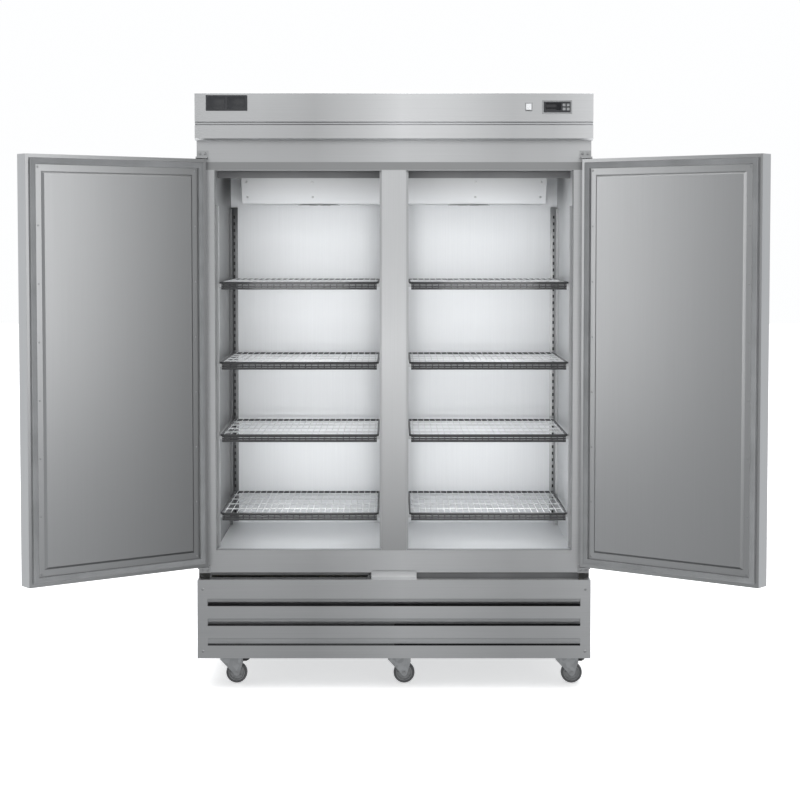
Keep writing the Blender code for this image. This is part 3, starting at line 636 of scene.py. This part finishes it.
def door_rect(side, inset=0.0):
    ends = sorted((side * (DOOR_ALONG[0] + inset), side * (DOOR_ALONG[1] - inset)))
    return (*ends, DOOR_LOW + inset, DOOR_HIGH - inset)


def build_gasket(label):
    matrix, side = door_place(label)
    bm = bmesh.new()
    seat = DOOR_BACK + 0.0003
    profile = [(inset / 1000, seat + out / 1000) for inset, out in SEAL_SECTION]
    frame_ring(bm, door_rect(side, 0.012), profile, matrix)
    gasket = piece("door_" + label + "_magnetic_seal", bm, "seal", "door_" + label, 25)
    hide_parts(f"door_{label}_gasket")


def build_pull(label):
    """A moulded bezel and lining in the pressed pocket of the outer face."""
    matrix, side = door_place(label)
    bm = bmesh.new()
    near, far, low, high = PULL
    a, b = sorted((side * near, side * far))
    rect = (a - 0.004, b + 0.004, low - 0.004, high + 0.004)
    front = DOOR_FRONT
    profile = [
        (0.0, front - 0.0002),
        (0.0008, front - 0.0016),
        (0.0050, front - 0.0018),
        (0.0060, front - 0.0008),
        (0.0068, front + 0.0240),
        (0.0052, front + 0.0240),
        (0.0046, front - 0.0002),
    ]
    frame_ring(bm, rect, profile, matrix)
    floor_low = (a + 0.0012, front + 0.0262, low + 0.0012)
    floor_high = (b - 0.0012, front + 0.0285, high - 0.0012)
    block(bm, floor_low, floor_high, 0.0006, matrix)
    lip_low = (side * (far - 0.003), front + 0.0006, low + 0.003)
    lip_high = (side * (far - 0.024), front + 0.0034, high - 0.003)
    block(bm, lip_low, lip_high, 0.0012, matrix)
    piece("door_" + label + "_pull_cup", bm, "dark", "door_" + label)


def build_door_trim(label):
    """Screws down both sides of the liner, and the hinge bushings."""
    matrix, side = door_place(label)
    inward = matrix.to_3x3() @ Vector((0, 1, 0))
    bm = bmesh.new()
    for k in range(8):
        z = DOOR_LOW + 0.042 + k * (DOOR_HIGH - DOOR_LOW - 0.084) / 7
        for along in (DOOR_ALONG[0] + 0.044, DOOR_ALONG[1] - 0.044):
            place = matrix @ Vector((side * along, DOOR_BACK, z))
            screw(bm, place, inward, 0.0034, 0.0012)
    piece("door_" + label + "_liner_screws", bm, "bracket", "door_" + label)
    bm = bmesh.new()
    bushing = [
        (0.0066, 0.0030),
        (0.0110, 0.0030),
        (0.0120, 0.0018),
        (0.0120, 0.0002),
        (0.0066, 0.0002),
    ]
    for z, up in ((DOOR_LOW, -1), (DOOR_HIGH, 1)):
        lathe(bm, bushing, 24, matrix @ along_axis((0, 0, z), (0, 0, up)))
    piece("door_" + label + "_hinge_bushings", bm, "black", "door_" + label)


for label in SIDES:
    build_gasket(label)
    build_pull(label)
    build_door_trim(label)


# ---- Header ----
BADGE_X, BADGE_Z = -0.580, 2.054
SWITCH_Z = 2.040


def build_badge():
    """A plain dark plate with two raised blank fields at the left of the header."""
    front = HEADER_LOW.y
    x, z = BADGE_X, BADGE_Z
    bm = bmesh.new()
    plate_low = (x - 0.072, front - 0.0030, z - 0.027)
    plate_high = (x + 0.072, front - 0.0002, z + 0.027)
    block(bm, plate_low, plate_high, 0.0012)
    piece("header_badge_plate", bm, "dark", "cabinet")
    bm = bmesh.new()
    for start, end in ((-0.067, -0.007), (0.003, 0.063)):
        field_low = (x + start, front - 0.0040, z - 0.021)
        field_high = (x + end, front - 0.0028, z + 0.021)
        block(bm, field_low, field_high, 0.0006)
    piece("header_badge_fields", bm, "badge", "cabinet")


def build_display():
    """A bezel, a blank window and four keys over the controller."""
    low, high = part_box("temperature_controller")
    front = low.y
    bm = bmesh.new()
    rect = (low.x - 0.0015, high.x + 0.0015, low.z - 0.0015, high.z + 0.0015)
    profile = [
        (0.0, front + 0.0028),
        (0.0, front - 0.0006),
        (0.0012, front - 0.0016),
        (0.0040, front - 0.0016),
        (0.0050, front - 0.0004),
        (0.0050, front + 0.0028),
    ]
    frame_ring(bm, rect, profile)
    piece("controller_bezel", bm, "trim", "cabinet")
    bm = bmesh.new()
    window_low = (low.x + 0.010, front - 0.0008, low.z + 0.011)
    window_high = (low.x + 0.064, front - 0.0001, high.z - 0.008)
    block(bm, window_low, window_high, 0.0003)
    piece("controller_window", bm, "screen", "cabinet")
    bm = bmesh.new()
    for k in range(2):
        for j in range(2):
            cx, cz = low.x + 0.074 + 0.014 * k, low.z + 0.015 + 0.014 * j
            key_low = (cx - 0.0048, front - 0.0010, cz - 0.0045)
            key_high = (cx + 0.0048, front - 0.0001, cz + 0.0045)
            block(bm, key_low, key_high, 0.0005)
    piece("controller_keys", bm, "trim", "cabinet")


def build_switch_bezel():
    low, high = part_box("power_switch")
    bm = bmesh.new()
    rect = (low.x - 0.0035, high.x + 0.0035, SWITCH_Z - 0.0150, SWITCH_Z + 0.0150)
    face = HEADER_LOW.y
    profile = [
        (0.0, face - 0.0002),
        (0.0004, face - 0.0014),
        (0.0026, face - 0.0014),
        (0.0026, face - 0.0002),
    ]
    frame_ring(bm, rect, profile)
    piece("switch_bezel", bm, "trim", "cabinet")


build_badge()
build_display()
build_switch_bezel()


# ---- Casters ----
# Closed sections turned about their axis, as (radius, height) pairs.
RACE_SECTION = (
    (0.0130, 0.1050), (0.0240, 0.1050), (0.0275, 0.1030),
    (0.0275, 0.0985), (0.0240, 0.0962), (0.0130, 0.0962),
)
TREAD_SECTION = (
    (0.0290, 0.0120), (0.0335, 0.0128), (0.0362, 0.0112), (0.03755, 0.0070), (0.03765, 0.0),
    (0.03755, -0.0070), (0.0362, -0.0112), (0.0335, -0.0128), (0.0290, -0.0120),
)
HALF_HUB = (
    (0.0044, 0.0140), (0.0100, 0.0140), (0.0115, 0.0128), (0.0120, 0.0075),
    (0.0240, 0.0060), (0.0262, 0.0105), (0.0289, 0.0115),
)
HUB_SECTION = (*HALF_HUB, *((radius, -height) for radius, height in reversed(HALF_HUB)))


def build_caster(tail):
    """The race and axle nuts of a caster's fork, its wheel, and the bolts of its plate."""
    swivel, roll = JOINTS[f"caster_{tail}_swivel"], JOINTS[f"caster_{tail}_roll"]
    x, y, _ = swivel["pos_m"]
    wx, wy, wz = roll["pos_m"]
    fork, roller = swivel["child"], roll["child"]
    bm = bmesh.new()
    lathe(bm, RACE_SECTION, 32, Matrix.Translation((x, y, 0)))
    piece("caster_race_" + tail, bm, "zinc_caster", fork)
    bm = bmesh.new()
    for s in (-1, 1):
        hex_bolt(bm, (wx, wy + s * 0.0186, wz), (0, s, 0), 0.0062, 0.0042)
    piece("caster_axle_nuts_" + tail, bm, "bracket", fork)
    axis = along_axis((wx, wy, wz), (0, 1, 0))
    bm = bmesh.new()
    lathe(bm, TREAD_SECTION, 48, axis)
    wheel = piece("caster_tread_" + tail, bm, "tread", roller)
    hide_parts("caster_wheel_" + tail)
    bm = bmesh.new()
    lathe(bm, HUB_SECTION, 40, axis)
    for t in turns(5):
        spoke = axis @ Matrix.Rotation(t, 4, "Z")
        block(bm, (0.0105, -0.0016, -0.0095), (0.0262, 0.0016, 0.0095), 0.0006, spoke)
    piece("caster_hub_" + tail, bm, "hub", roller)
    bm = bmesh.new()
    for dx in (-0.027, 0.027):
        for dy in (-0.027, 0.027):
            hex_bolt(bm, (x + dx, y + dy, 0.1058), (0, 0, -1), 0.0055, 0.0045)
    piece("caster_plate_bolts_" + tail, bm, "bracket", "cabinet")


for name in JOINTS:
    if name.endswith("_swivel"):
        build_caster(name[len("caster_"):-len("_swivel")])


# ---- Hinges ----
def build_hinge_screws(label):
    bm = bmesh.new()
    for end in ("lower", "upper"):
        low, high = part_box(f"hinge_bracket_{label}_{end}")
        z = low.z + 0.011 if end == "lower" else high.z - 0.011
        for x in (low.x + 0.010, high.x - 0.010):
            screw(bm, (x, high.y - 0.0030, z), (0, -1, 0), 0.0044, 0.0022)
    piece("hinge_screws_" + label, bm, "bracket", "cabinet")


for label in SIDES:
    build_hinge_screws(label)


# ---- Cabinet interior ----
PILASTER_SLOTS = 46
SLOT_PITCH = 0.0254


def build_edge_strip(label):
    """A grey strip round three sides of an opening, from the outer edge to the mullion."""
    s = -SIDES[label]
    thick = 0.0022
    y0, y1 = FACE_Y - 0.0005, FACE_Y + 0.024
    outer, inner, far = s * OPENING_OUTER, s * (OPENING_OUTER - thick), s * OPENING_INNER
    bm = bmesh.new()
    block(bm, (outer, y0, OPENING_LOW), (inner, y1, OPENING_HIGH), 0.0006)
    block(bm, (inner, y0, OPENING_LOW), (far, y1, OPENING_LOW + thick), 0.0006)
    block(bm, (inner, y0, OPENING_HIGH - thick), (far, y1, OPENING_HIGH), 0.0006)
    piece("edge_strip_" + label, bm, "trim", "cabinet")


def build_lamp(label):
    """A folded valance under the head of an opening, and the lamp that it holds."""
    s = -SIDES[label]
    near, far, centre = s * 0.0475, s * 0.6270, s * BAY_MIDDLE
    back, front, face = FACE_Y + 0.150, FACE_Y + 0.100, FACE_Y + 0.1485
    bm = bmesh.new()
    block(bm, (near, front, 1.8000), (far, front + 0.002, OPENING_HIGH), 0.0006)
    block(bm, (near, front, OPENING_HIGH - 0.0020), (far, back, OPENING_HIGH), 0.0006)
    block(bm, (near, face, 1.8060), (far, back, OPENING_HIGH), 0.0006)
    piece("lamp_valance_" + label, bm, "valance", "cabinet")
    bm = bmesh.new()
    housing_low = (centre - 0.215, FACE_Y + 0.108, 1.8075)
    housing_high = (centre + 0.215, FACE_Y + 0.140, 1.8222)
    block(bm, housing_low, housing_high, 0.003)
    piece("lamp_housing_" + label, bm, "white", "cabinet")
    bm = bmesh.new()
    lens_low = (centre - 0.205, FACE_Y + 0.112, 1.8050)
    lens_high = (centre + 0.205, FACE_Y + 0.136, 1.8071)
    block(bm, lens_low, lens_high, 0.0008)
    piece("lamp_lens_" + label, bm, "lens", "cabinet")


def build_fan_guard(label):
    """Six wire rings and six spokes under an evaporator fan."""
    x, y, _ = JOINTS[f"evaporator_fan_{label}_spin"]["pos_m"]
    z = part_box("evaporator_cover")[0].z - 0.0022
    bm = bmesh.new()
    for radius in (0.012, 0.024, 0.036, 0.048, 0.060, 0.072):
        ring = [(x + radius * math.cos(t), y + radius * math.sin(t), z) for t in turns(40)]
        tube(bm, ring, 0.0011, 6, closed=True)
    for t in turns(6):
        ends = [
            (x + radius * math.cos(t), y + radius * math.sin(t), z - 0.0018)
            for radius in (0.012, 0.078)
        ]
        rod(bm, *ends, 0.0012, 6)
    piece("fan_guard_" + label, bm, "bracket", "cabinet")


def build_pilaster(label):
    """A slotted upright cover in a rear corner."""
    s = -SIDES[label]
    back = LINER_HIGH.y - 0.0016
    bm = bmesh.new()
    # Its steel carries painted shade, deepest on the left.
    block(bm, (s * 0.6030, back - 0.010, 0.490), (s * 0.6290, back, 1.706), 0.0012)
    piece("corner_pilaster_" + label, bm, "pilaster_" + label, "cabinet")
    bm = bmesh.new()
    for k in range(PILASTER_SLOTS):
        z = 0.520 + SLOT_PITCH * k
        block(bm, (s * 0.6130, back - 0.0104, z), (s * 0.6190, back - 0.0098, z + 0.012))
    piece("pilaster_slots_" + label, bm, "black", "cabinet")


def build_cover_screws():
    """Two rows of screws in the sloped front of the evaporator cover."""
    low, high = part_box("evaporator_cover")
    bm = bmesh.new()
    for x in (low.x + 0.02, -0.30, 0.30, high.x - 0.02):
        for share in (0.25, 0.80):
            y = low.y + 0.065 * (1 - share)
            z = low.z + (high.z - 0.012 - low.z) * share
            screw(bm, (x, y - 0.0010, z - 0.0006), (0, -0.86, -0.51), 0.0044, 0.0018)
    piece("evaporator_cover_screws", bm, "bracket", "cabinet")


for label in SIDES:
    build_edge_strip(label)
    build_lamp(label)
    build_fan_guard(label)
for label in SIDES:
    build_pilaster(label)
build_cover_screws()


# ---- Grille ----
FILTER_LOW, FILTER_HIGH = 0.1125, 0.380
FILTER_RIM = 0.010


def build_grille_screws():
    bm = bmesh.new()
    for x in (-0.672, 0.672):
        for z in (0.135, 0.355):
            screw(bm, (x, GRILLE_LOW.y - 0.0001, z), (0, -1, 0), 0.0050, 0.0018)
    piece("grille_screws", bm, "bracket", "cabinet")


def build_air_filter(label, x0, x1, key):
    """A framed filter pad behind half of the grille, with a wire grid on its face."""
    y0, y1 = GRILLE_HIGH.y - 0.0150, GRILLE_HIGH.y - 0.0090
    low, high, rim = FILTER_LOW, FILTER_HIGH, FILTER_RIM
    pad_low, pad_high = low + 0.004, high - 0.004
    bm = bmesh.new()
    block(bm, (x0, y0, low), (x1, y1, low + rim), 0.001)
    block(bm, (x0, y0, high - rim), (x1, y1, high), 0.001)
    block(bm, (x0, y0, low), (x0 + rim, y1, high), 0.001)
    block(bm, (x1 - rim, y0, low), (x1, y1, high), 0.001)
    block(bm, (x0 + 0.004, y0 + 0.0024, pad_low), (x1 - 0.004, y1 - 0.0024, pad_high))
    for k in range(1, 24):
        x, y = x0 + k * (x1 - x0) / 24, y0 + 0.0014
        rod(bm, (x, y, pad_low), (x, y, pad_high), 0.0009, 6)
    for k in range(1, 9):
        y, z = y0 + 0.0012, low + k * (high - low) / 9
        rod(bm, (x0 + 0.004, y, z), (x1 - 0.004, y, z), 0.0009, 6)
    piece("air_filter_" + label, bm, key, "cabinet")


def build_gap_covers():
    """What shows in the gap above the grille: a raceway, and the coil's seal left of it."""
    front, back, top = -0.1235, -0.0950, 0.4015
    bm = bmesh.new()
    block(bm, (-0.0865, front, 0.345), (0.655, back, top), 0.002)
    for k in range(6):
        screw(bm, (-0.020 + 0.125 * k, front, 0.372), (0, -1, 0), 0.0040, 0.0016)
    piece("wiring_raceway", bm, "hub", "cabinet")
    bm = bmesh.new()
    block(bm, (-0.652, front + 0.0020, 0.3925), (-0.088, -0.0700, top), 0.002)
    piece("coil_top_seal", bm, "hub", "cabinet")


build_grille_screws()
build_air_filter("left", -0.686, -0.0002, "filter")
build_air_filter("right", 0.0002, 0.686, "black")
build_gap_covers()


# ---- Back of the cabinet ----
def build_rear_screws():
    """Screws through each side into the return flange of the rear panel."""
    low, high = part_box("cabinet_wrap")
    bm = bmesh.new()
    for x, out in ((low.x, -1), (high.x, 1)):
        for k in range(9):
            z = low.z + 0.05 + k * (high.z - low.z - 0.10) / 8
            screw(bm, (x, high.y - 0.0120, z), (out, 0, 0), 0.0046, 0.0018)
    piece("rear_panel_screws", bm, "bracket", "cabinet")


build_rear_screws()


# ---- Machine compartment ----
# Half of the drier's section, as (radius, distance from its middle) pairs.
HALF_DRIER = ((0.0, 0.055), (0.0055, 0.055), (0.0070, 0.045), (0.0130, 0.036))
DRIER_SECTION = (*((radius, -along) for radius, along in HALF_DRIER), *reversed(HALF_DRIER))


def build_refrigerant_lines():
    """The liquid line with its drier, to the coil, and the insulated suction line at the back."""
    low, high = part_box("compressor")
    middle = (low + high) / 2
    top = high.z
    coil_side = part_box("condenser_coil")[1].x
    liquid_line = [
        (middle.x - 0.030, middle.y, top - 0.004),
        (middle.x - 0.030, middle.y, top + 0.010),
        (middle.x - 0.040, middle.y - 0.010, top + 0.016),
        (0.030, 0.110, top + 0.016),
        (-0.030, -0.030, top + 0.014),
        (-0.060, -0.080, top + 0.010),
        (coil_side - 0.002, -0.090, top + 0.008),
    ]
    bm = bmesh.new()
    tube(bm, liquid_line, 0.0048, 10)
    piece("liquid_line", bm, "copper", "cabinet")
    bm = bmesh.new()
    drier = along_axis((0.0, 0.040, top + 0.015), (-0.060, -0.140, -0.002))
    lathe(bm, DRIER_SECTION, 24, drier)
    piece("filter_drier", bm, "copper", "cabinet")
    suction_x = middle.x + 0.040
    suction_line = [
        (suction_x, middle.y + 0.020, top - 0.006),
        (suction_x, middle.y + 0.020, top + 0.012),
        (suction_x, middle.y + 0.034, top + 0.020),
        (suction_x, 0.540, top + 0.020),
        (suction_x, 0.556, top + 0.030),
        (suction_x, 0.560, 0.420),
    ]
    bm = bmesh.new()
    tube(bm, suction_line, 0.0090, 12)
    piece("suction_line", bm, "seal", "cabinet")


def build_electrical_box():
    lid = -0.0525
    bm = bmesh.new()
    block(bm, (0.350, -0.050, 0.1560), (0.500, 0.040, 0.2560), 0.003)
    block(bm, (0.346, lid, 0.1560), (0.504, lid + 0.0030, 0.2600), 0.001)
    for x in (0.356, 0.494):
        for z in (0.166, 0.250):
            screw(bm, (x, lid, z), (0, -1, 0), 0.0036, 0.0016)
    piece("electrical_box", bm, "zinc", "cabinet")


build_refrigerant_lines()
build_electrical_box()


# ---- Stage, camera and light ----
LENS_MM, SENSOR_MM = 85.3, 36
CAMERA_TILT = math.radians(3.0)
CAMERA_HEIGHT, CAMERA_DISTANCE = 1.569, 6.6
LENS_SHIFT_X, LENS_SHIFT_Y = 0.0075, -0.196


def build_floor():
    """A wide pale floor that glows a little and doesn't show in reflections."""
    bpy.ops.mesh.primitive_plane_add(size=60, location=(0, 0, -0.0005))
    floor = bpy.context.object
    floor.name = "stage_floor"
    s = Shader("stage_white")
    white = (0.92, 0.92, 0.92)
    cloud = s.ramp(s.noise(s.position(), 3.0, 2.0), 0.3, 0.7, 0, 1)
    glow = {"Emission_Color": (1, 1, 1, 1), "Emission_Strength": 0.50}
    tone = s.mix(cloud, scaled(white, 0.985), white)
    floor.data.materials.append(s.surface(Base_Color=tone, Roughness=0.9, **glow))
    floor.visible_glossy = False


def build_world():
    """A pale backdrop to the camera, and a room that is brighter behind the cabinet."""
    world = bpy.data.worlds.new("studio")
    bpy.context.scene.world = world
    world.use_nodes = True
    tree = world.node_tree
    room = tree.nodes["Background"]
    room.inputs["Color"].default_value = (0.96, 0.98, 1.0, 1)
    towards = tree.nodes.new("ShaderNodeTexCoord")
    parts = tree.nodes.new("ShaderNodeSeparateXYZ")
    behind = tree.nodes.new("ShaderNodeMapRange")
    limits = {"From Min": 0.05, "From Max": 0.45, "To Min": 0.37, "To Max": 0.85}
    for key, value in limits.items():
        behind.inputs[key].default_value = value
    tree.links.new(towards.outputs["Generated"], parts.inputs[0])
    tree.links.new(parts.outputs["Y"], behind.inputs["Value"])
    tree.links.new(behind.outputs[0], room.inputs["Strength"])
    backdrop = tree.nodes.new("ShaderNodeBackground")
    backdrop.inputs["Color"].default_value = (0.99, 0.995, 1.0, 1)
    rays = tree.nodes.new("ShaderNodeLightPath")
    chosen = tree.nodes.new("ShaderNodeMixShader")
    tree.links.new(rays.outputs["Is Camera Ray"], chosen.inputs[0])
    tree.links.new(room.outputs[0], chosen.inputs[1])
    tree.links.new(backdrop.outputs[0], chosen.inputs[2])
    tree.links.new(chosen.outputs[0], tree.nodes["World Output"].inputs["Surface"])


def build_sky():
    sun = bpy.data.lights.new("sky", "SUN")
    sun.energy = 2.3
    sun.angle = math.radians(70)
    sky = bpy.data.objects.new("sky", sun)
    sky.location = (0, 0, 6)
    bpy.context.scene.collection.objects.link(sky)


def area_light(name, place, target, size, watts):
    data = bpy.data.lights.new(name, "AREA")
    data.shape = "RECTANGLE"
    data.size, data.size_y = size
    data.energy = watts
    light = bpy.data.objects.new(name, data)
    light.location = place
    light.rotation_euler = (Vector(target) - Vector(place)).to_track_quat("-Z", "Y").to_euler()
    light.visible_camera = False
    bpy.context.scene.collection.objects.link(light)


def build_lights():
    """Large lights round the cabinet, and three in each bay: its lamp, a broad one, a low one."""
    build_sky()
    area_light("front", (0.2, -7.4, 3.0), (0, 0, 1.3), (4.0, 2.2), watts=24)
    area_light("low_fill", (0.0, -4.6, 0.7), (0, 0, 0.4), (3.0, 0.9), watts=9)
    area_light("right_panel", (2.6, -2.7, 1.8), (-1.0, -0.4, 1.3), (1.2, 2.4), watts=12)
    area_light("left_panel", (-2.6, -1.2, 1.8), (0.8, -0.2, 1.3), (1.0, 2.4), watts=9)
    for side in (-1, 1):
        x = side * BAY_MIDDLE
        near, far = FACE_Y + 0.030, FACE_Y + 0.66
        lamp_at, lamp_aim = (x, FACE_Y + 0.122, 1.800), (x, FACE_Y + 0.50, 1.1)
        area_light(f"lamp_{side}", lamp_at, lamp_aim, (0.40, 0.02), watts=0.18)
        area_light(f"bay_{side}", (x, near, 1.34), (x, far, 1.40), (0.34, 0.72), watts=1.15)
        area_light(f"foot_{side}", (x, near, 0.70), (x, far, 0.50), (0.40, 0.12), watts=0.68)


def build_camera():
    """A camera tilted a little, with its lens shifted so that the front view stays in place."""
    data = bpy.data.cameras.new("camera")
    data.sensor_width = SENSOR_MM
    data.lens = LENS_MM
    data.shift_x = LENS_SHIFT_X
    data.shift_y = LENS_SHIFT_Y + math.tan(CAMERA_TILT) * data.lens / data.sensor_width
    camera = bpy.data.objects.new("camera", data)
    camera.location = (0, HEADER_LOW.y - CAMERA_DISTANCE, CAMERA_HEIGHT)
    camera.rotation_euler = (math.pi / 2 - CAMERA_TILT, 0, 0)
    bpy.context.scene.collection.objects.link(camera)
    bpy.context.scene.camera = camera


build_floor()
build_world()
build_camera()
build_lights()

scene = bpy.context.scene
scene.view_settings.view_transform = "Standard"
scene.view_settings.look = "None"
scene.view_settings.exposure = 0.0
